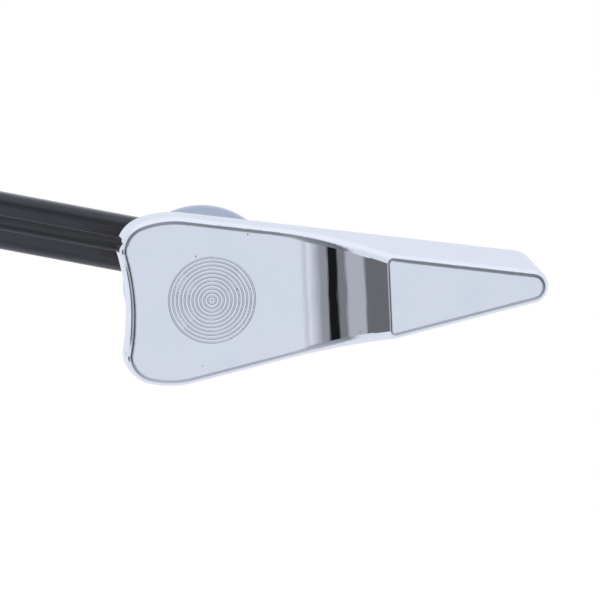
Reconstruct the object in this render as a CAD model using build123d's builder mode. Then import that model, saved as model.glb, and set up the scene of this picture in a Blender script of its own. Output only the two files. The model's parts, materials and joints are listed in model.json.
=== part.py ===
from build123d import *
from math import atan, cos, radians, sin, sqrt, tan
import os

# Front-mount trip lever for a toilet tank: paddle handle, spindle, threaded shank and lift arm.
# Millimetres. The origin is on the pivot axis in the plane of the tank's front face,
# +X points to the tip of the handle, +Y into the tank and +Z up.
# "Height" below means distance in front of the tank's face, "depth" distance behind it.

os.makedirs("parts", exist_ok=True)

FRONT = Plane.XZ  # local z points out of the tank, towards the user
BACK = Plane(origin=(0, 0, 0), x_dir=(1, 0, 0), z_dir=(0, 1, 0))  # local z points into the tank
SLIDING_GAP = 0.05  # radial clearance of every running fit
SNUG_GAP = 0.02  # clearance between pieces that stay together

# ---- handle ----
BACK_HEIGHT = 15.3  # rear rim of the casting
FACE_HEIGHT = 20.3  # wide face, over the pivot
GRIP_HEIGHT = 30.6  # thumb grip, towards the tip
HALF_WIDTH = 14.95  # of the rear outline at the pivot
SIDE_SLOPE = 0.1836  # narrowing of each side per millimetre of length
TIP_X = 60.95
SHOULDER_X = -4.0  # the straight side ends and the shoulder's curve begins
CORNER = (-12.3, 15.2)
CORNER_END = (-16.5, 9.3)
HOLLOW_X = -15.4  # deepest point of the concave end
DRAFT = 5.0
TIP_DRAFT = 2.0
EDGE_RADIUS = 1.7
WALL = 1.6
RAMP_START = 12.1
RAMP_RADIUS = 22.0
RAMP_SLOPE = 48.0  # degrees, of the flat at the top of the ramp
RIDGE_X = 31.2
RIDGE_RADIUS = 1.1
RIB_X = (20.0, 33.0, 45.0)
RIB_THICKNESS = 1.4
RIB_RECESS = 1.2
RING_COUNT = 11
RING_PITCH = 0.715
RING_ROUND = 0.3  # radius of the tool that cut the rings
RING_DEPTH = 0.06
BOSS_RADIUS = 7.4
BOSS_END = 10.9
BOSS_BORE_DEPTH = 7.2

# ---- spindle, with the arm's hub on its rear end ----
ARM_DEPTH = 33.2
HUB_LENGTH = 11.0
JOURNAL_RADIUS = 4.0
SPIGOT_RADIUS = 3.4  # end that is held in the handle's boss
SQUARE = 5.6  # across flats, carries the arm
SQUARE_START = 26.0
GROOVE_RADIUS = 3.2
GROOVE_START = 25.03
GROOVE_WIDTH = 0.9
TAP_RADIUS = 1.65
TAP_DEPTH = 10.0
PIN_RADIUS = 1.25
PIN_HEIGHT = 13.1
PIN_TOP = 4.9
SPIGOT_CHAMFER = 0.5
END_PLAY = 0.2  # left at the end of the boss's bore and of the arm's hub
SPINDLE_END = ARM_DEPTH + HUB_LENGTH / 2 - END_PLAY

# ---- shank ----
THREAD_RADIUS = 7.14  # 9/16-18 thread
THREAD_END = 24.0
SHANK_FRONT = 9.9
BARREL_RADIUS = 7.5
BARREL_STEP_RADIUS = 8.5
BARREL_STEP = 7.8
FLANGE_RADIUS = 11.2
FLANGE_HEIGHT = 3.2
GASKET_HEIGHT = 1.5
SHOULDER_SQUARE = 15.8
SHOULDER_CORNER_RADIUS = 9.5
SHOULDER_END = 4.5
SHANK_BORE_RADIUS = 5.2
BUSH_RADIUS = 6.0
BUSH_LENGTH = 7.0
END_CHAMFER = 0.8

# ---- stop: a lug on the handle's boss runs in a notch of the shank ----
TRAVEL = 34.0  # degrees from rest to fully pressed
LUG_ANGLE = 30.0
LUG_DEPTH = 2.6
LUG_INNER = 6.2
LUG_OUTER = 7.3
NOTCH_DEPTH = 2.0
NOTCH_SPARE = 0.6  # degrees left at each end of the travel

# ---- escutcheon ----
CUP_RADIUS = 14.65
CUP_LIP = 1.5
CUP_GAP = 0.3  # the gasket stands this far behind the rim
CUP_WALL = 1.2
CUP_FRONT = 9.4

# ---- gaskets, washers and nut ----
GASKET_RADII = (9.8, 12.8)
INNER_RADII = (7.3, 11.4)
TANK_WALL = 8.0  # thickness of tank that the nut is set for
INNER_GASKET_THICKNESS = 1.2
SLIP_WASHER_THICKNESS = 0.7
NUT_THICKNESS = 4.6
NUT_ACROSS_FLATS = 20.6
NUT_CHAMFER_RADIUS = 10.6
FRONT_WASHER_RADIUS = 5.7
REAR_WASHER_RADIUS = 6.5
REAR_WASHER_THICKNESS = 0.95
CLIP_THICKNESS = 0.8
CLIP_RADIUS = 5.8
CLIP_RING = 1.4
CLIP_MOUTH = 5.0
CLIP_PRONG = 2.2

# ---- arm ----
ARM_RISE = 14.65  # degrees above level at rest
ARM_LENGTH = 203.0
ARM_HEIGHT = 11.1
ARM_THICKNESS = 7.0
ARM_EDGE = 2.8
TROUGH_RADIUS = 1.7
TROUGH_DEPTH = 0.65
HUB_RADIUS = 6.5
PAD_START = ARM_LENGTH - 28.0  # flat end for the chain
TROUGH_START = 13.0
TROUGH_END = PAD_START - 6.0
PAD_THICKNESS = 3.4
CHAIN_HOLE_RADIUS = 1.8
CHAIN_HOLE_X = (ARM_LENGTH - 20.0, ARM_LENGTH - 13.0, ARM_LENGTH - 6.0)
SCREW_RADIUS = 1.6
SCREW_LENGTH = 9.0
SCREW_HEAD_RADIUS = 3.6
SCREW_HEAD_HEIGHT = 2.5
SCREW_HEAD_ROUND = 1.2
CROSS_SIZE = (4.0, 0.9)
CROSS_DEPTH = 1.5
ARM_WASHER_RADII = (2.1, 5.0)
ARM_WASHER_THICKNESS = 0.9


def paddle_outline(height, wall):
    """Front view of the handle at a height before the tank, shrunk by wall and by the draft."""
    rise = height - BACK_HEIGHT
    inset = wall + rise * tan(radians(DRAFT))
    tip = TIP_X + rise * (tan(radians(DRAFT)) - tan(radians(TIP_DRAFT)))
    slope = atan(SIDE_SLOPE)
    tip_centre = (tip - HALF_WIDTH * cos(slope)) / (1 - sin(slope))
    tip_radius = tip - tip_centre
    tip_start = (tip_centre + tip_radius * sin(slope), tip_radius * cos(slope))
    shoulder = (SHOULDER_X, HALF_WIDTH - SIDE_SLOPE * SHOULDER_X)
    with BuildSketch(FRONT.offset(height)) as outline:
        with BuildLine():
            side = Line(tip_start, shoulder)
            top = TangentArc(shoulder, CORNER, tangent=side % 1)
            TangentArc(CORNER, CORNER_END, tangent=top % 1)
            ThreePointArc(CORNER_END, (HOLLOW_X, 0), (CORNER_END[0], -CORNER_END[1]))
            mirror(about=Plane.XZ)
            ThreePointArc(tip_start, (tip, 0), (tip_start[0], -tip_start[1]))
        make_face()
        if inset:
            offset(amount=-inset)
    return outline.sketch.face()


def side_profile(wall, back_height):
    """Side view of the handle: wide face, concave ramp and grip, set back by wall."""
    reach = TIP_X + 10
    centre = (RAMP_START, -(FACE_HEIGHT + RAMP_RADIUS))
    ridge_x = RIDGE_X + wall * tan(radians(RAMP_SLOPE / 2))
    with BuildSketch(Plane.XY) as profile:
        with BuildLine():
            ramp = CenterArc(centre, RAMP_RADIUS + wall, 90, -RAMP_SLOPE)
            Polyline(
                ramp @ 1,
                (ridge_x, wall - GRIP_HEIGHT),
                (reach, wall - GRIP_HEIGHT),
                (reach, -back_height),
                (-reach, -back_height),
                (-reach, wall - FACE_HEIGHT),
                ramp @ 0,
            )
        make_face()
    return profile.sketch


def paddle(wall):
    """Drafted solid between the outlines, under the side profile, set back by wall."""
    back_height = BACK_HEIGHT - wall
    with BuildPart() as solid:
        loft([paddle_outline(back_height, wall), paddle_outline(GRIP_HEIGHT + 1, wall)], ruled=True)
        profile = side_profile(wall, back_height)
        extrude(profile, amount=HALF_WIDTH * 2, both=True, mode=Mode.INTERSECT)
    return solid.part


def ring(radii, plane, thickness):
    """Flat ring, a washer or a gasket, that starts on plane."""
    with BuildPart() as washer:
        with BuildSketch(plane):
            Circle(radii[1])
            Circle(radii[0], mode=Mode.SUBTRACT)
        extrude(amount=thickness)
    return washer


def sector(radii, middle, angle, height, length):
    """Solid arc of a ring about the pivot axis, from height towards the tank."""
    reach = 2 * radii[1]
    edge_angles = (middle - angle / 2, middle, middle + angle / 2)
    rays = [(reach * cos(radians(a)), reach * sin(radians(a))) for a in edge_angles]
    with BuildPart() as arc:
        with BuildSketch(FRONT.offset(height)):
            Circle(radii[1])
            Circle(radii[0], mode=Mode.SUBTRACT)
            with BuildLine():
                Polyline((0, 0), *rays, close=True)
            make_face(mode=Mode.INTERSECT)
        extrude(amount=-length)
    return arc.part


# ---------------------------------------------------------------- handle
with BuildPart() as hollow:
    add(paddle(WALL))
    rib_height = GRIP_HEIGHT - BACK_HEIGHT - RIB_RECESS
    with BuildSketch(FRONT.offset(BACK_HEIGHT + RIB_RECESS)):
        for x in RIB_X:
            with Locations((x, 0)):
                Rectangle(RIB_THICKNESS, 4 * HALF_WIDTH)
    extrude(amount=rib_height, mode=Mode.SUBTRACT)

with BuildPart() as handle:
    add(paddle(0))
    front_faces = handle.faces().filter_by(lambda f: f.normal_at().Y < -0.5)
    fillet(front_faces.edges() - handle.edges().filter_by(Axis.Z), radius=EDGE_RADIUS)
    ridge = handle.edges().filter_by(Axis.Z).sort_by(Axis.Y)[0]
    fillet(ridge, radius=RIDGE_RADIUS)
    add(hollow.part, mode=Mode.SUBTRACT)
    with BuildSketch(FRONT.offset(BOSS_END)):
        Circle(BOSS_RADIUS)
    extrude(amount=FACE_HEIGHT - WALL - BOSS_END + SNUG_GAP)
    with BuildSketch(FRONT.offset(BOSS_END)):
        Circle(SPIGOT_RADIUS + SNUG_GAP)
    extrude(amount=BOSS_BORE_DEPTH, mode=Mode.SUBTRACT)
    with BuildSketch(Plane.XY.offset(-BOSS_RADIUS - 1)):
        with Locations((0, -PIN_HEIGHT)):
            Circle(PIN_RADIUS + SNUG_GAP)
    extrude(amount=BOSS_RADIUS + 1 + PIN_TOP, mode=Mode.SUBTRACT)
    tool_height = FACE_HEIGHT + RING_ROUND - RING_DEPTH
    with BuildSketch(Plane.XY):
        for number in range(1, RING_COUNT + 1):
            with Locations((number * RING_PITCH, -tool_height)):
                Circle(RING_ROUND)
    revolve(axis=Axis.Y, mode=Mode.SUBTRACT)
    with Locations((0, -tool_height, 0)):
        Sphere(RING_ROUND, mode=Mode.SUBTRACT)
    add(sector((LUG_INNER, LUG_OUTER), 90, LUG_ANGLE, BOSS_END + 1, LUG_DEPTH + 1))
handle.part.label = "handle"
export_step(handle.part, "parts/handle.step")

# ---------------------------------------------------------------- spindle and its pin
with BuildPart() as spindle:
    spigot_length = BOSS_BORE_DEPTH - END_PLAY
    with BuildSketch(FRONT.offset(BOSS_END)):
        Circle(SPIGOT_RADIUS)
    extrude(amount=spigot_length)
    with BuildSketch(FRONT.offset(BOSS_END)):
        Circle(JOURNAL_RADIUS)
    extrude(amount=-(BOSS_END + SQUARE_START))
    with BuildSketch(BACK.offset(SQUARE_START)):
        Rectangle(SQUARE, SQUARE)
        Circle(JOURNAL_RADIUS - SNUG_GAP, mode=Mode.INTERSECT)
    extrude(amount=SPINDLE_END - SQUARE_START)
    with BuildSketch(BACK.offset(GROOVE_START)):
        Circle(JOURNAL_RADIUS + 1)
        Circle(GROOVE_RADIUS, mode=Mode.SUBTRACT)
    extrude(amount=GROOVE_WIDTH, mode=Mode.SUBTRACT)
    with BuildSketch(BACK.offset(SPINDLE_END)):
        Circle(TAP_RADIUS)
    extrude(amount=-TAP_DEPTH, mode=Mode.SUBTRACT)
    with BuildSketch(Plane.XY.offset(-BOSS_RADIUS)):
        with Locations((0, -PIN_HEIGHT)):
            Circle(PIN_RADIUS + SNUG_GAP)
    extrude(amount=2 * BOSS_RADIUS, mode=Mode.SUBTRACT)
    front_rim = spindle.faces().sort_by(Axis.Y)[0].edges()
    chamfer(front_rim, length=SPIGOT_CHAMFER)
spindle.part.label = "spindle"
export_step(spindle.part, "parts/spindle.step")

with BuildPart() as handle_pin:
    pin_bottom = sqrt(BOSS_RADIUS**2 - PIN_RADIUS**2) - SNUG_GAP
    with BuildSketch(Plane.XY.offset(-pin_bottom)):
        with Locations((0, -PIN_HEIGHT)):
            Circle(PIN_RADIUS)
            Circle(PIN_RADIUS / 2, mode=Mode.SUBTRACT)
            with Locations((0, PIN_RADIUS)):
                Rectangle(PIN_RADIUS / 3, 2 * PIN_RADIUS, mode=Mode.SUBTRACT)
    extrude(amount=pin_bottom + PIN_TOP - SNUG_GAP)
handle_pin.part.label = "handle_pin"
export_step(handle_pin.part, "parts/handle_pin.step")

# ---------------------------------------------------------------- shank and its bushes
with BuildPart() as shank:
    with BuildSketch(Plane.XY):
        with BuildLine():
            Polyline(
                (SHANK_BORE_RADIUS, -SHANK_FRONT),
                (BARREL_RADIUS, -SHANK_FRONT),
                (BARREL_RADIUS, -BARREL_STEP),
                (BARREL_STEP_RADIUS, -BARREL_STEP),
                (BARREL_STEP_RADIUS, -FLANGE_HEIGHT),
                (FLANGE_RADIUS, -FLANGE_HEIGHT),
                (FLANGE_RADIUS, -GASKET_HEIGHT),
                (THREAD_RADIUS, -GASKET_HEIGHT),
                (THREAD_RADIUS, THREAD_END - END_CHAMFER),
                (THREAD_RADIUS - END_CHAMFER, THREAD_END),
                (SHANK_BORE_RADIUS, THREAD_END),
                close=True,
            )
        make_face()
    revolve(axis=Axis.Y)
    with BuildSketch(BACK.offset(-GASKET_HEIGHT)):
        Rectangle(SHOULDER_SQUARE, SHOULDER_SQUARE)
        Circle(SHOULDER_CORNER_RADIUS, mode=Mode.INTERSECT)
        Circle(THREAD_RADIUS - 1, mode=Mode.SUBTRACT)
    extrude(amount=GASKET_HEIGHT + SHOULDER_END)
    for plane in (BACK.offset(-SHANK_FRONT), FRONT.offset(-THREAD_END)):
        with BuildSketch(plane):
            Circle(BUSH_RADIUS)
        extrude(amount=BUSH_LENGTH, mode=Mode.SUBTRACT)
    notch_angle = LUG_ANGLE + TRAVEL + 2 * NOTCH_SPARE
    notch_middle = 90 - TRAVEL / 2
    notch_radii = (BUSH_RADIUS - 0.1, BARREL_RADIUS + 1)
    notch = sector(notch_radii, notch_middle, notch_angle, SHANK_FRONT + 1, NOTCH_DEPTH + 1)
    add(notch, mode=Mode.SUBTRACT)
shank.part.label = "shank"
export_step(shank.part, "parts/shank.step")

BUSH_RADII = (JOURNAL_RADIUS + SLIDING_GAP, BUSH_RADIUS - SNUG_GAP)
front_bush = ring(BUSH_RADII, BACK.offset(SNUG_GAP - SHANK_FRONT), BUSH_LENGTH - 2 * SNUG_GAP)
front_bush.part.label = "front_bush"
export_step(front_bush.part, "parts/front_bush.step")

rear_bush = ring(BUSH_RADII, FRONT.offset(SNUG_GAP - THREAD_END), BUSH_LENGTH - 2 * SNUG_GAP)
rear_bush.part.label = "rear_bush"
export_step(rear_bush.part, "parts/rear_bush.step")

# ---------------------------------------------------------------- escutcheon
with BuildPart() as escutcheon:
    hole = BARREL_RADIUS + SNUG_GAP
    rise = CUP_FRONT - CUP_LIP
    run = CUP_RADIUS - hole
    bend = (run**2 + rise**2) / (2 * run)
    centre_x = CUP_RADIUS - bend
    inner_bend = bend - CUP_WALL
    inner_rise = sqrt(inner_bend**2 - (hole - centre_x) ** 2)
    with BuildSketch(Plane.XY):
        with BuildLine():
            Line((CUP_RADIUS, -CUP_GAP), (CUP_RADIUS, -CUP_LIP))
            TangentArc((CUP_RADIUS, -CUP_LIP), (hole, -CUP_FRONT), tangent=(0, -1))
            Line((hole, -CUP_FRONT), (hole, -CUP_LIP - inner_rise))
            inner = (CUP_RADIUS - CUP_WALL, -CUP_LIP)
            TangentArc(inner, (hole, -CUP_LIP - inner_rise), tangent=(0, -1))
            Polyline(inner, (CUP_RADIUS - CUP_WALL, -CUP_GAP), (CUP_RADIUS, -CUP_GAP))
        make_face()
    revolve(axis=Axis.Y)
escutcheon.part.label = "escutcheon"
export_step(escutcheon.part, "parts/escutcheon.step")

# ---------------------------------------------------------------- gaskets and washers
tank_gasket = ring(GASKET_RADII, BACK.offset(SNUG_GAP - GASKET_HEIGHT), GASKET_HEIGHT - SNUG_GAP)
tank_gasket.part.label = "tank_gasket"
export_step(tank_gasket.part, "parts/tank_gasket.step")

inner_gasket = ring(INNER_RADII, BACK.offset(TANK_WALL), INNER_GASKET_THICKNESS)
inner_gasket.part.label = "inner_gasket"
export_step(inner_gasket.part, "parts/inner_gasket.step")

slip_start = TANK_WALL + INNER_GASKET_THICKNESS + SNUG_GAP
slip_washer = ring(INNER_RADII, BACK.offset(slip_start), SLIP_WASHER_THICKNESS)
slip_washer.part.label = "slip_washer"
export_step(slip_washer.part, "parts/slip_washer.step")

FRONT_WASHER_RADII = (JOURNAL_RADIUS + 2 * SNUG_GAP, FRONT_WASHER_RADIUS)
washer_space = BOSS_END - SHANK_FRONT
washer_start = SLIDING_GAP / 2 - BOSS_END
front_washer = ring(FRONT_WASHER_RADII, BACK.offset(washer_start), washer_space - SLIDING_GAP * 1.5)
front_washer.part.label = "front_washer"
export_step(front_washer.part, "parts/front_washer.step")

REAR_WASHER_RADII = (JOURNAL_RADIUS + 2 * SNUG_GAP, REAR_WASHER_RADIUS)
rear_start = THREAD_END + SLIDING_GAP
rear_washer = ring(REAR_WASHER_RADII, BACK.offset(rear_start), REAR_WASHER_THICKNESS)
rear_washer.part.label = "rear_washer"
export_step(rear_washer.part, "parts/rear_washer.step")

with BuildPart() as retaining_clip:
    with BuildSketch(BACK.offset(GROOVE_START + SLIDING_GAP)):
        Circle(CLIP_RADIUS)
        Circle(CLIP_RADIUS - CLIP_RING, mode=Mode.SUBTRACT)
        with PolarLocations(CLIP_RADIUS - CLIP_RING, 3, start_angle=90, angular_range=360):
            Rectangle(CLIP_RING * 2, CLIP_PRONG)
        Circle(GROOVE_RADIUS + SNUG_GAP, mode=Mode.SUBTRACT)
        with Locations((0, -CLIP_RADIUS)):
            Rectangle(CLIP_MOUTH, CLIP_RADIUS, mode=Mode.SUBTRACT)
        Circle(CLIP_RADIUS, mode=Mode.INTERSECT)
    extrude(amount=CLIP_THICKNESS)
retaining_clip.part.label = "retaining_clip"
export_step(retaining_clip.part, "parts/retaining_clip.step")

# ---------------------------------------------------------------- mounting nut
with BuildPart() as mounting_nut:
    nut_start = slip_start + SLIP_WASHER_THICKNESS + SLIDING_GAP
    corner_radius = NUT_ACROSS_FLATS / 2 / cos(radians(30))
    with BuildSketch(BACK.offset(nut_start)):
        RegularPolygon(radius=corner_radius, side_count=6, rotation=90)
        Circle(THREAD_RADIUS + SLIDING_GAP, mode=Mode.SUBTRACT)
    extrude(amount=NUT_THICKNESS)
    slant = (corner_radius - NUT_CHAMFER_RADIUS) * tan(radians(30))
    with BuildSketch(Plane.XY):
        with BuildLine():
            Polyline(
                (0, nut_start),
                (NUT_CHAMFER_RADIUS, nut_start),
                (corner_radius, nut_start + slant),
                (corner_radius, nut_start + NUT_THICKNESS - slant),
                (NUT_CHAMFER_RADIUS, nut_start + NUT_THICKNESS),
                (0, nut_start + NUT_THICKNESS),
                close=True,
            )
        make_face()
    revolve(axis=Axis.Y, mode=Mode.INTERSECT)
mounting_nut.part.label = "mounting_nut"
export_step(mounting_nut.part, "parts/mounting_nut.step")

# ---------------------------------------------------------------- arm and its screw
rise = radians(ARM_RISE)
ARM_PLANE = Plane(origin=(0, ARM_DEPTH, 0), x_dir=(-cos(rise), 0, sin(rise)), z_dir=(0, -1, 0))

with BuildPart() as arm:
    with BuildSketch(ARM_PLANE.offset(-ARM_THICKNESS / 2)):
        with Locations((ARM_LENGTH / 2, 0)):
            SlotOverall(ARM_LENGTH + ARM_HEIGHT / 2, ARM_HEIGHT)
    extrude(amount=ARM_THICKNESS)
    long_edges = arm.faces().filter_by(Axis.Y).edges()
    fillet(long_edges, radius=ARM_EDGE)
    trough_height = ARM_THICKNESS / 2 + TROUGH_RADIUS - TROUGH_DEPTH
    for side in (1, -1):
        start = ARM_PLANE.from_local_coords((TROUGH_START, 0, side * trough_height))
        end = ARM_PLANE.from_local_coords((TROUGH_END, 0, side * trough_height))
        with BuildSketch(Plane(origin=start, z_dir=ARM_PLANE.x_dir)):
            Circle(TROUGH_RADIUS)
        extrude(amount=TROUGH_END - TROUGH_START, mode=Mode.SUBTRACT)
        with Locations(start, end):
            Sphere(TROUGH_RADIUS, mode=Mode.SUBTRACT)
        with BuildSketch(ARM_PLANE.offset(side * PAD_THICKNESS / 2)):
            with Locations((PAD_START + ARM_LENGTH / 2, 0)):
                Rectangle(ARM_LENGTH, 2 * ARM_HEIGHT)
        extrude(amount=side * ARM_THICKNESS, mode=Mode.SUBTRACT)
    with BuildSketch(ARM_PLANE.offset(-HUB_LENGTH / 2)):
        Circle(HUB_RADIUS)
    extrude(amount=HUB_LENGTH)
    with BuildSketch(BACK.offset(ARM_DEPTH - HUB_LENGTH)):
        Rectangle(SQUARE + 2 * SNUG_GAP, SQUARE + 2 * SNUG_GAP)
    extrude(amount=2 * HUB_LENGTH, mode=Mode.SUBTRACT)
    with BuildSketch(ARM_PLANE.offset(-ARM_THICKNESS)):
        for x in CHAIN_HOLE_X:
            with Locations((x, 0)):
                Circle(CHAIN_HOLE_RADIUS)
    extrude(amount=2 * ARM_THICKNESS, mode=Mode.SUBTRACT)
arm.part.label = "arm"
export_step(arm.part, "parts/arm.step")

hub_end = ARM_DEPTH + HUB_LENGTH / 2
arm_washer = ring(ARM_WASHER_RADII, BACK.offset(hub_end + SNUG_GAP), ARM_WASHER_THICKNESS)
arm_washer.part.label = "arm_washer"
export_step(arm_washer.part, "parts/arm_washer.step")

with BuildPart() as arm_screw:
    head_start = hub_end + ARM_WASHER_THICKNESS + 2 * SNUG_GAP
    with BuildSketch(BACK.offset(head_start)):
        Circle(SCREW_HEAD_RADIUS)
    extrude(amount=SCREW_HEAD_HEIGHT)
    fillet(arm_screw.edges().sort_by(Axis.Y)[-1], radius=SCREW_HEAD_ROUND)
    with BuildSketch(BACK.offset(head_start)):
        Circle(SCREW_RADIUS)
    extrude(amount=-SCREW_LENGTH)
    with BuildSketch(BACK.offset(head_start + SCREW_HEAD_HEIGHT)):
        Rectangle(*CROSS_SIZE)
        Rectangle(*reversed(CROSS_SIZE))
    extrude(amount=-CROSS_DEPTH, mode=Mode.SUBTRACT)
arm_screw.part.label = "arm_screw"
export_step(arm_screw.part, "parts/arm_screw.step")
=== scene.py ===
import json
from math import ceil, cos, pi, radians, sin, tan
import bpy
from mathutils import Matrix, Vector

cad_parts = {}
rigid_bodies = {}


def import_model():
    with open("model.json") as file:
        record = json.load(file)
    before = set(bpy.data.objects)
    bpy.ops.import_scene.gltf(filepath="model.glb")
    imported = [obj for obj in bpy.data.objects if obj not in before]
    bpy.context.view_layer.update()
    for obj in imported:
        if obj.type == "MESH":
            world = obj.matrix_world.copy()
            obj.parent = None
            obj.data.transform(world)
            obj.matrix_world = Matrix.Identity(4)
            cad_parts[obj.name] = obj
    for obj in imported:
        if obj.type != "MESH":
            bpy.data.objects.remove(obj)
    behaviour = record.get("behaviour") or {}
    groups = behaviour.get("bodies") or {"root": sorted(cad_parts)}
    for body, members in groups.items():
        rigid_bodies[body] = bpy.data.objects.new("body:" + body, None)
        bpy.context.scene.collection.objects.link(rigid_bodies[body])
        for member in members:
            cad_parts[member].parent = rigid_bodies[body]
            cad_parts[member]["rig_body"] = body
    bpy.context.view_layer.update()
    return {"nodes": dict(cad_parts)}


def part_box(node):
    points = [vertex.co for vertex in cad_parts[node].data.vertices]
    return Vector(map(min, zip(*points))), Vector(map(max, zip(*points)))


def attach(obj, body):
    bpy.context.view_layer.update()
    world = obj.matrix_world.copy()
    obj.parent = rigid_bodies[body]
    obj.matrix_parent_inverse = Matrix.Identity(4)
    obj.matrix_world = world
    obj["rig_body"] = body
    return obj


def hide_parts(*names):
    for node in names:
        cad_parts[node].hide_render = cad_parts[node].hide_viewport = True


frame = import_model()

# Looks of a front-mount trip lever for a toilet tank. The frame is the part's own, in metres:
# the pivot runs along Y, +X points to the handle's tip and the tank is on the +Y side.

NODES = frame["nodes"]
MM = 0.001

# ---- camera ----
CAMERA_AZIMUTH = radians(7.333)
CAMERA_ELEVATION = radians(10.266)
CAMERA_ROLL = radians(2.752)
CAMERA_DISTANCE = 545.45 * MM
CAMERA_SHIFT_RIGHT = 15.99 * MM
CAMERA_SHIFT_UP = 0.02 * MM
LENS, SENSOR = 180, 36
CLIP_START, CLIP_END = 0.01, 50
RING_CENTRE = Vector((0, -20.3 * MM, 0))

# ---- studio ----
FLOOR_Z = -1.6
FLOOR_RADIUS = 6.0
FLOOR_SIDES = 64
FLOOR_COLOUR = (0.95, 0.95, 0.95, 1)
FLOOR_ROUGHNESS = 0.9
FLOOR_GLOW = 0.8  # keeps the floor as white as the backdrop
LIGHTS = {  # place, diameter, watts
    "key": ((-0.5, -0.9, 1.0), 0.9, 6.0),
    "fill": ((0.9, -0.5, 0.3), 0.8, 3.0),
}
FRONT_LIGHT = (0.70, 0.745, 0.84)  # colour of the studio as the wide face mirrors it
BACK_LIGHT = (0.78, 0.82, 0.92)
BACK_EDGE = (-0.7, 0.5)  # along Y, from the front light to the back light
OVERHEAD = (0.88, 0.93, 1.02)  # softbox above
OVERHEAD_EDGE = (0.45, 0.95)  # sine of its elevation, from the first light to the full
CARDS = (  # plain grey cards left of the object: first and last degree from the front, grey
    (34, 39, 0.30),
    (41, 49, 0.01),
    (51, 57, 0.20),
    (60, 77, 0.45),
    (80, 97, 0.15),
)
CARD_TINT = (0.95, 1.0, 1.13)
CARD_FADE = 22  # degrees from the front where the front light starts to fade into the first card
CARD_BOTTOM, CARD_TOP = radians(-18), radians(-2)
RIM_DIRECTION = (0.1256, -0.976, -0.178)  # what the wide face mirrors, inside a dark ring
RIM_INNER, RIM_OUTER, RIM_SOFT = radians(34), radians(62), radians(14)
RIM_COLOUR = (0.02, 0.021, 0.027)
RIM_DARKNESS, RIM_SIDES, RIM_TOP = 0.5, 0.35, 0.2  # everywhere, more to the sides, more above
SOFT_EDGE = radians(4)

# ---- threads: 9/16-18, left-handed as on tank levers, so that the nut's turns match the model ----
THREAD_RADIUS = 7.14 * MM
PITCH = 25.4 / 18 * MM
THREAD_DEPTH = 0.6 * MM
THREAD_RUNOUT = 1.6 * MM  # over which the thread fades out at the shoulder
THREAD_STEPS = 10  # rows for each turn
CREST = 0.12  # share of the pitch that is flat on the crest, and again at the root
FACETS = 144
BREAK = 0.15 * MM  # broken edge of a turned piece
SHARP = radians(32)

# ---- shank, with the sizes of the CAD ----
BARREL_RADIUS = 7.5 * MM
STEP_RADIUS, STEP_Y = 8.5 * MM, -7.8 * MM
FLANGE_FRONT, FLANGE_REAR = -3.2 * MM, -1.5 * MM
HALF_SQUARE, CORNER_RADIUS, SHOULDER_Y = 7.9 * MM, 9.5 * MM, 4.5 * MM
BORE_RADIUS = 5.2 * MM
BUSH_GAP = 0.02 * MM
END_CHAMFER = 0.8 * MM
NOTCH_MIDDLE, NOTCH_HALF, NOTCH_DEPTH = radians(73), radians(32.6), 2.0 * MM  # takes the stop lug
NOTCH_WALL = radians(0.05)  # half of the angle over which a wall of the notch drops

# ---- mounting nut ----
NUT_FACE_RADIUS = 10.6 * MM
NUT_SLANT = radians(30)  # of the cone that cuts the hexagon's corners
NUT_CONE_STEPS = 4
NUT_CLEARANCE = 0.1 * MM
NUT_COUNTERSINK = 0.35 * MM
NUT_THREAD_SHARE = 0.75  # of the thread's depth


# ---------------------------------------------------------------- shader graphs
class Graph:
    """Short calls that add nodes to a node tree. An input is a number, a tuple or a socket."""

    def __init__(self, tree):
        self.tree = tree

    def node(self, kind, inputs=(), **settings):
        node = self.tree.nodes.new("ShaderNode" + kind)
        for key, value in settings.items():
            setattr(node, key, value)
        for key, value in dict(inputs).items():
            self.set(node.inputs[key], value)
        return node

    def set(self, socket, value):
        if isinstance(value, bpy.types.NodeSocket):
            self.tree.links.new(value, socket)
        else:
            socket.default_value = value

    def math(self, operation, a, b=0.0, c=0.0, clamp=False):
        inputs = {0: a, 1: b, 2: c}
        return self.node("Math", inputs, operation=operation, use_clamp=clamp).outputs[0]

    def dot(self, a, b):
        return self.node("VectorMath", {0: a, 1: b}, operation="DOT_PRODUCT").outputs["Value"]

    def step(self, value, low, high, to_low=0.0, to_high=1.0):
        """Smooth step: to_low below low, to_high above high."""
        inputs = {"Value": value, 1: low, 2: high, 3: to_low, 4: to_high}
        return self.node("MapRange", inputs, interpolation_type="SMOOTHSTEP").outputs[0]

    def between(self, value, low, high, soft):
        """1 from low to high, falling to 0 over soft outside them."""
        rising = self.step(value, low - soft, low)
        falling = self.step(value, high, high + soft, 1.0, 0.0)
        return self.math("MULTIPLY", rising, falling)

    def mix(self, factor, a, b):
        node = self.node("Mix", data_type="RGBA")
        for socket, value in ((node.inputs[0], factor), (node.inputs[6], a), (node.inputs[7], b)):
            self.set(socket, (*value, 1.0) if isinstance(value, tuple) else value)
        return node.outputs[2]

    def noise(self, vector, scale, detail=2.0, roughness=0.5, distortion=0.0):
        inputs = {"Vector": vector, "Scale": scale, "Detail": detail}
        inputs |= {"Roughness": roughness, "Distortion": distortion}
        return self.node("TexNoise", inputs).outputs["Fac"]

    def stretched(self, vector, turn, stretch):
        """Coordinates for streaks along the Z axis turned by degrees about X, Y and Z."""
        rotation = tuple(radians(angle) for angle in turn)
        inputs = {"Vector": vector, "Rotation": rotation, "Scale": (1.0, 1.0, stretch)}
        return self.node("Mapping", inputs, vector_type="TEXTURE").outputs[0]

    def sum(self, first, *rest):
        for value in rest:
            first = self.math("ADD", first, value)
        return first


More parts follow.
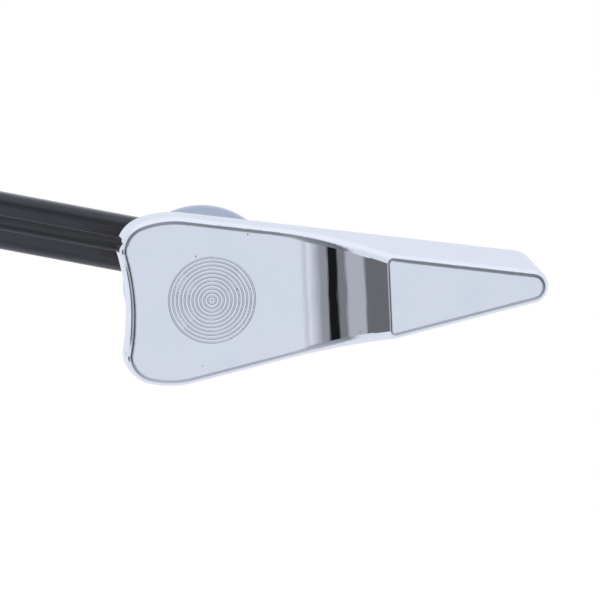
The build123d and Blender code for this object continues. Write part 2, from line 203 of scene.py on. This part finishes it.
# ---------------------------------------------------------------- camera and studio
def add_camera():
    az, el, roll = CAMERA_AZIMUTH, CAMERA_ELEVATION, CAMERA_ROLL
    look = Vector((sin(az) * cos(el), cos(az) * cos(el), -sin(el)))
    level = Vector((cos(az), -sin(az), 0))
    upright = level.cross(look)
    right = cos(roll) * level - sin(roll) * upright
    up = sin(roll) * level + cos(roll) * upright
    place = RING_CENTRE - CAMERA_DISTANCE * look + CAMERA_SHIFT_RIGHT * right + CAMERA_SHIFT_UP * up
    data = bpy.data.cameras.new("camera")
    data.lens = LENS
    data.sensor_width = SENSOR
    data.clip_start = CLIP_START
    data.clip_end = CLIP_END
    camera = bpy.data.objects.new("camera", data)
    turn = Matrix((right, up, -look)).transposed().to_4x4()
    camera.matrix_world = Matrix.Translation(place) @ turn
    bpy.context.scene.collection.objects.link(camera)
    bpy.context.scene.camera = camera


def add_world():
    """Pale studio that the metal mirrors: grey cards on the left, a soft dark rim, white behind."""
    world = bpy.data.worlds.new("studio")
    world.use_nodes = True
    world.node_tree.nodes.clear()
    g = Graph(world.node_tree)
    direction = g.node("TexCoord").outputs["Generated"]
    axes = g.node("SeparateXYZ", {0: direction}).outputs
    azimuth = g.math("ARCTAN2", g.math("MULTIPLY", axes[0], -1.0), g.math("MULTIPLY", axes[1], -1.0))
    elevation = g.math("ARCSINE", axes[2])

    sky = g.mix(g.step(axes[1], *BACK_EDGE), FRONT_LIGHT, BACK_LIGHT)
    sky = g.mix(g.step(axes[2], *OVERHEAD_EDGE), sky, OVERHEAD)
    cards = g.node("ValToRGB", {0: g.math("DIVIDE", azimuth, pi)})
    ramp = cards.color_ramp
    stops = [(CARD_FADE, FRONT_LIGHT)]
    for first, last, grey in CARDS:
        colour = tuple(grey * tint for tint in CARD_TINT)
        stops += [(first, colour), (last, colour)]
    while len(ramp.elements) < len(stops):
        ramp.elements.new(1.0)
    for element, (angle, colour) in zip(ramp.elements, stops):
        element.position = angle / 180
        element.color = (*colour, 1.0)
    off_axis = g.math("ARCCOSINE", g.dot(direction, RIM_DIRECTION))
    rim = g.between(off_axis, RIM_INNER, RIM_OUTER, RIM_SOFT)
    darkness = g.math("MULTIPLY_ADD", g.math("ABSOLUTE", axes[0]), RIM_SIDES, RIM_DARKNESS)
    darkness = g.math("MULTIPLY_ADD", axes[2], RIM_TOP, darkness)
    scene_light = g.mix(g.math("MULTIPLY", rim, darkness, clamp=True), sky, RIM_COLOUR)

    sideways = g.between(azimuth, radians(CARD_FADE), radians(CARDS[-1][1]), SOFT_EDGE)
    upright = g.between(elevation, CARD_BOTTOM, CARD_TOP, SOFT_EDGE)
    scene_light = g.mix(g.math("MULTIPLY", sideways, upright), scene_light, cards.outputs[0])

    seen = g.node("Background", {0: scene_light, 1: 1.0})
    plain = g.node("Background", {0: (1, 1, 1, 1), 1: 1.0})
    camera_ray = g.node("LightPath").outputs["Is Camera Ray"]
    shown = g.node("MixShader", {0: camera_ray, 1: seen.outputs[0], 2: plain.outputs[0]})
    g.node("OutputWorld", {0: shown.outputs[0]})
    bpy.context.scene.world = world


def add_floor():
    mesh = bpy.data.meshes.new("floor")
    turns = [2 * pi * i / FLOOR_SIDES for i in range(FLOOR_SIDES)]
    rim = [(FLOOR_RADIUS * cos(turn), FLOOR_RADIUS * sin(turn), FLOOR_Z) for turn in turns]
    mesh.from_pydata(rim, [], [range(FLOOR_SIDES)])
    floor = bpy.data.objects.new("floor", mesh)
    floor.visible_glossy = False
    bpy.context.scene.collection.objects.link(floor)
    material = bpy.data.materials.new("floor")
    material.use_nodes = True
    shader = material.node_tree.nodes["Principled BSDF"]
    shader.inputs["Base Color"].default_value = FLOOR_COLOUR
    shader.inputs["Roughness"].default_value = FLOOR_ROUGHNESS
    shader.inputs["Emission Color"].default_value = (1, 1, 1, 1)
    shader.inputs["Emission Strength"].default_value = FLOOR_GLOW
    mesh.materials.append(material)


def add_light(name, place, size, power):
    data = bpy.data.lights.new(name, "AREA")
    data.shape = "DISK"
    data.size = size
    data.energy = power
    light = bpy.data.objects.new(name, data)
    light.location = place
    light.rotation_euler = (-Vector(place)).to_track_quat("-Z", "Y").to_euler()
    light.visible_glossy = False
    bpy.context.scene.collection.objects.link(light)


# ---------------------------------------------------------------- turned and threaded pieces
def turned(name, node, angles, rows):
    """Closed mesh around the pivot axis that stands for a CAD node. Each row is a function of the
    angle, from +X towards +Z, that gives (radius, y)."""
    points = []
    for row in rows:
        for angle in angles:
            radius, y = row(angle)
            points.append((radius * cos(angle), y, radius * sin(angle)))
    count = len(angles)
    faces = []
    for j in range(len(rows)):
        below, above = j * count, (j + 1) % len(rows) * count
        for i in range(count):
            k = (i + 1) % count
            faces.append((below + i, below + k, above + k, above + i))
    mesh = bpy.data.meshes.new(name)
    mesh.from_pydata(points, [], faces)
    mesh.validate()
    mesh.shade_smooth()
    mesh.set_sharp_from_angle(angle=SHARP)
    piece = bpy.data.objects.new(name, mesh)
    bpy.context.scene.collection.objects.link(piece)
    cad = NODES[node]
    slot = slot_name(cad)
    mesh.materials.append(MATERIALS[slot])
    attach(piece, cad["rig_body"])
    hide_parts(node)


def even_angles(extra=()):
    return sorted([2 * pi * i / FACETS for i in range(FACETS)] + list(extra))


def plain(radius, y):
    return lambda angle: (radius, y)


def thread_radius(angle, y, crest_radius, depth):
    """Trapezoid thread along a left-hand helix."""
    phase = (y / PITCH - angle / (2 * pi)) % 1
    off_crest = min(phase, 1 - phase) * 2
    share = min(max((off_crest - CREST) / (1 - 2 * CREST), 0), 1)
    return crest_radius - depth * share


def add_shank():
    low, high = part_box("shank")
    front, rear, flange = low.y, high.y, high.x
    bush_front, bush_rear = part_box("front_bush"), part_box("rear_bush")
    counterbore = bush_front[1].x + BUSH_GAP
    notch_start, notch_end = NOTCH_MIDDLE - NOTCH_HALF, NOTCH_MIDDLE + NOTCH_HALF

    def square(y, inset=0.0):
        def row(a):
            side = (HALF_SQUARE - inset) / max(abs(cos(a)), abs(sin(a)))
            return min(side, CORNER_RADIUS - inset), y
        return row

    def front_edge(radius, cut):
        def row(a):
            inside = notch_start < a < notch_end
            return radius, (front + NOTCH_DEPTH if inside else front) + cut
        return row

    def threaded(y):
        depth = THREAD_DEPTH * min(max((y - SHOULDER_Y) / THREAD_RUNOUT, 0), 1)
        chamfered = THREAD_RADIUS - max(0, y - (rear - END_CHAMFER))
        return lambda a: (min(thread_radius(a, y, THREAD_RADIUS, depth), chamfered), y)

    count = ceil((rear - SHOULDER_Y) / PITCH * THREAD_STEPS)
    rows = [
        front_edge(counterbore + BREAK, 0),
        front_edge(BARREL_RADIUS - BREAK, 0),
        front_edge(BARREL_RADIUS, BREAK / 2),
        plain(BARREL_RADIUS, STEP_Y),
        plain(STEP_RADIUS - BREAK, STEP_Y),
        plain(STEP_RADIUS, STEP_Y + BREAK),
        plain(STEP_RADIUS, FLANGE_FRONT),
        plain(flange - BREAK, FLANGE_FRONT),
        plain(flange, FLANGE_FRONT + BREAK),
        plain(flange, FLANGE_REAR - BREAK),
        plain(flange - BREAK, FLANGE_REAR),
        square(FLANGE_REAR),
        square(SHOULDER_Y - BREAK),
        square(SHOULDER_Y, BREAK),
        *[threaded(SHOULDER_Y + (rear - SHOULDER_Y) * i / count) for i in range(count + 1)],
        plain(counterbore + BREAK, rear),
        plain(counterbore, rear - BREAK),
        plain(counterbore, bush_rear[0].y),
        plain(BORE_RADIUS, bush_rear[0].y),
        plain(BORE_RADIUS, bush_front[1].y),
        plain(counterbore, bush_front[1].y),
        front_edge(counterbore, BREAK / 2),
    ]
    cuts = [a + side * NOTCH_WALL for a in (notch_start, notch_end) for side in (-1, 1)]
    turned("shank_body", "shank", even_angles(cuts), rows)


def add_nut():
    low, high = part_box("mounting_nut")
    start, end, flat = low.y, high.y, high.x
    tip = flat / cos(pi / 6)
    slant = (tip - NUT_FACE_RADIUS) * tan(NUT_SLANT)
    crest = THREAD_RADIUS + NUT_CLEARANCE
    opening = crest + NUT_COUNTERSINK
    shallowest = crest - NUT_THREAD_SHARE * THREAD_DEPTH

    def hexagon(y, cone):
        def row(a):
            turn = (a + pi / 6) % (pi / 3) - pi / 6
            return min(flat / cos(turn), cone), y
        return row

    def threaded(y):
        lead = max(opening - (y - start), opening - (end - y))
        return lambda a: (max(thread_radius(a, y, crest, THREAD_DEPTH), shallowest, lead), y)

    count = ceil((end - start) / PITCH * THREAD_STEPS)
    steps = [i / NUT_CONE_STEPS for i in range(NUT_CONE_STEPS + 1)]
    cone = [(slant * step, NUT_FACE_RADIUS + (tip - NUT_FACE_RADIUS) * step) for step in steps]
    rows = [
        *[hexagon(start + y, radius) for y, radius in cone],
        *[hexagon(end - y, radius) for y, radius in reversed(cone)],
        *[threaded(end - (end - start) * i / count) for i in range(count + 1)],
    ]
    turned("mounting_nut_body", "mounting_nut", even_angles(), rows)


# ---------------------------------------------------------------- materials
EDGE_ROUND = 0.3 * MM  # of a metal piece's broken edges
RING_PITCH = 0.715 * MM
RING_COUNT = 11
RING_DEPTHS = (-19 * MM, -18 * MM)  # along Y, the rings lie in front of these
GRIME, GRIME_SHARE = (0.25, 0.26, 0.28), 0.13
SPECK, SPECK_SHARE = (0.05, 0.04, 0.035), 0.55
MARK_STRETCH, POLISH_STRETCH = 50.0, 8.0
MARK_DEPTH, SPECK_DEPTH, SCUFF_DEPTH = 0.0006, 0.01, 0.002  # mm
METALS = {  # colour, dull colour, roughness, height of waves and grain in mm, stains, polish, rings
    "handle_chrome": ((0.91, 0.915, 0.935), (0.84, 0.86, 0.90), 0.03, 0.042, 0.00005, 0.5, 0.007, True),
    # The escutcheon's colour and dull colour are painted shade: its chrome is darkened to a blue-grey
    # that stands in for the shade and the dark reflections it has behind the handle.
    "escutcheon_chrome": ((0.43, 0.485, 0.57), (0.37, 0.42, 0.50), 0.12, 0.006, 0.0002, 0.6),
    "spindle_steel": ((0.60, 0.59, 0.57), (0.42, 0.40, 0.37), 0.3, 0.004, 0.001, 0.7),
    "steel": ((0.66, 0.67, 0.68), (0.50, 0.50, 0.48), 0.25, 0.003, 0.0008, 0.7),
    "clip_steel": ((0.36, 0.34, 0.32), (0.22, 0.20, 0.19), 0.35, 0.003, 0.0008, 0.6),
    "brass": ((0.80, 0.60, 0.30), (0.52, 0.36, 0.17), 0.28, 0.004, 0.0008, 0.8),
    "nut_brass": ((0.78, 0.58, 0.28), (0.50, 0.35, 0.17), 0.3, 0.004, 0.001, 0.8),
}
PLASTICS = {  # colour, worn colour, roughness, height of grain in mm, edge colour (a painted highlight on the sharp edges), scuff direction
    "acetal": ((0.80, 0.79, 0.75), (0.66, 0.64, 0.58), 0.4, 0.002),
    "nylon": ((0.74, 0.72, 0.64), (0.6, 0.57, 0.48), 0.45, 0.002),
    "rubber": ((0.02, 0.02, 0.021), (0.07, 0.068, 0.066), 0.7, 0.004),
    "arm_plastic": (
        # The arm's edge colour is a painted highlight: light grey on its sharp edges and the groove's
        # lips, standing in for glints of the overhead light.
        (0.022, 0.022, 0.026), (0.05, 0.05, 0.056), 0.24, 0.0015, (0.30, 0.30, 0.34), (0, -75.35, 0),
    ),
}


def new_material(name):
    """A material's graph, its shader and the coordinates on the object, in metres."""
    material = bpy.data.materials.new(name)
    material.use_nodes = True
    g = Graph(material.node_tree)
    shader = material.node_tree.nodes["Principled BSDF"]
    return material, g, shader, g.node("TexCoord").outputs["Object"]


def bump(g, shader, *layers, normal=None):
    """Chain of bump nodes on a normal, one for each (height, distance in mm)."""
    for height, depth in layers:
        inputs = {"Height": height, "Distance": depth * MM}
        if normal:
            inputs["Normal"] = normal
        normal = g.node("Bump", inputs).outputs[0]
    g.set(shader.inputs["Normal"], normal)


def scratches(g, place, turn, scale, share):
    """Thin straight marks along one direction, 1 on a mark."""
    lines = g.noise(g.stretched(place, turn, MARK_STRETCH), scale, detail=1.0)
    patches = g.noise(place, 90.0, detail=1.0)
    return g.math("MULTIPLY", g.step(lines, 1 - share, 1.01 - share), g.step(patches, 0.5, 0.62))


def pits(g, place, scale, size):
    """Sparse round specks, 1 inside a speck."""
    cells = g.node("TexVoronoi", {"Vector": place, "Scale": scale})
    chosen = g.step(g.node("SeparateColor", {0: cells.outputs["Color"]}).outputs[0], 0.93, 0.94)
    return g.math("MULTIPLY", g.step(cells.outputs["Distance"], size * 0.6, size, 1.0, 0.0), chosen)


def edge_wear_and_highlight(g, radius):
    """1 on the sharp edges, 0 on open faces."""
    rounded = g.node("Bevel", {"Radius": radius * MM}, samples=4).outputs[0]
    flat = g.node("NewGeometry").outputs["Normal"]
    return g.step(g.dot(rounded, flat), 0.82, 0.99, 1.0, 0.0)


def ring_grime(g, place):
    """1 in the rings engraved on the handle's face, which keep some polish and dirt."""
    flat = g.node("VectorMath", {0: place, 1: (1.0, 0.0, 1.0)}, operation="MULTIPLY").outputs[0]
    radius = g.node("VectorMath", {0: flat}, operation="LENGTH").outputs["Value"]
    rings = g.math("DIVIDE", radius, RING_PITCH)
    groove = g.step(g.math("PINGPONG", rings, 0.5), 0.12, 0.28, 1.0, 0.0)
    engraved = g.step(rings, RING_COUNT + 0.2, RING_COUNT + 0.3, 1.0, 0.0)
    front = g.step(g.node("SeparateXYZ", {0: place}).outputs[1], *RING_DEPTHS, 1.0, 0.0)
    return g.math("MULTIPLY", g.math("MULTIPLY", groove, engraved), front)


def metal(name, colour, dull, roughness, wave, grain, stain, polish=0.0, rings=False):
    """Plated or bare metal: colour with duller patches, scratches and specks. Waviness, grain and
    polishing marks are heights in mm."""
    material, g, shader, place = new_material(name)
    shader.inputs["Metallic"].default_value = 1.0
    patches = g.step(g.noise(place, 120.0, detail=4.0, roughness=0.6), 0.45, 0.75)
    first = scratches(g, place, turn=(20, 75, 0), scale=2600.0, share=0.3)
    marks = g.sum(first, scratches(g, place, turn=(80, 10, 30), scale=3100.0, share=0.3))
    specks = pits(g, place, scale=420.0, size=0.09)
    worn = g.mix(g.math("MULTIPLY", patches, stain), colour, dull)
    if rings:
        worn = g.mix(g.math("MULTIPLY", ring_grime(g, place), GRIME_SHARE), worn, GRIME)
    g.set(shader.inputs["Base Color"], g.mix(g.math("MULTIPLY", specks, SPECK_SHARE), worn, SPECK))
    rough = g.math("MULTIPLY_ADD", g.noise(place, 260.0, detail=3.0), roughness, roughness * 0.5)
    rough = g.sum(rough, g.math("MULTIPLY", marks, 0.08), g.math("MULTIPLY", specks, 0.3))
    g.set(shader.inputs["Roughness"], rough)
    layers = [
        (g.noise(place, 160.0, detail=1.0), wave),
        (g.noise(place, 2400.0, detail=3.0), grain),
        (g.math("MULTIPLY", marks, -1.0), MARK_DEPTH),
        (g.math("MULTIPLY", specks, -1.0), SPECK_DEPTH),
    ]
    if polish:
        brushed = g.stretched(place, (0, 2, 0), POLISH_STRETCH)
        layers.append((g.noise(brushed, 900.0, detail=2.0), polish))
    rounded = None if rings else g.node("Bevel", {"Radius": EDGE_ROUND}, samples=6).outputs[0]
    bump(g, shader, *layers, normal=rounded)
    return material


def plastic(name, colour, worn_colour, roughness, grain, edge_highlight_colour=None, along=(15, 80, 10)):
    """Moulded plastic or rubber: fine grain, edges in the worn colour or, where an edge colour is
    given, in a painted highlight, scuffs along one direction, mould flow.
    """
    material, g, shader, place = new_material(name)
    flow = g.step(g.noise(place, 70.0, detail=3.0, roughness=0.6, distortion=0.4), 0.35, 0.7)
    edges = edge_wear_and_highlight(g, 0.3)
    scuffs = g.math("MULTIPLY", scratches(g, place, along, scale=2200.0, share=0.32), 0.8)
    broken = g.step(g.noise(place, 900.0, detail=4.0), 0.42, 0.6)
    wear = g.math("MULTIPLY", g.sum(edges, scuffs), broken, clamp=True)
    base = g.mix(g.math("MULTIPLY", flow, 0.25), colour, worn_colour)
    base = g.mix(g.math("MULTIPLY", wear, 0.5), base, worn_colour)
    # Sharp edges take the edge colour, which on the arm is a painted highlight; without one they take
    # the worn colour.
    base = g.mix(g.math("MULTIPLY", edges, 0.7), base, edge_highlight_colour or worn_colour)
    g.set(shader.inputs["Base Color"], base)
    rough = g.math("MULTIPLY_ADD", g.noise(place, 500.0, detail=4.0), roughness * 0.5, roughness * 0.75)
    g.set(shader.inputs["Roughness"], g.math("MULTIPLY_ADD", wear, 0.15, rough))
    bump(
        g, shader,
        (g.noise(place, 130.0, detail=2.0), grain * 3),
        (g.noise(place, 3500.0, detail=3.0, roughness=0.6), grain),
        (g.math("MULTIPLY", scuffs, -1.0), SCUFF_DEPTH),
    )
    return material


def slot_name(node):
    """The material slot that the record gives to a CAD node."""
    return node.material_slots[0].material.name.split(".")[0]


add_camera()
add_world()
add_floor()
for name, light in LIGHTS.items():
    add_light(name, *light)
bpy.context.scene.view_settings.view_transform = "Standard"

MATERIALS = {name: metal(name, *look) for name, look in METALS.items()}
MATERIALS |= {name: plastic(name, *look) for name, look in PLASTICS.items()}
for node in NODES.values():
    node.material_slots[0].material = MATERIALS[slot_name(node)]

add_shank()
add_nut()
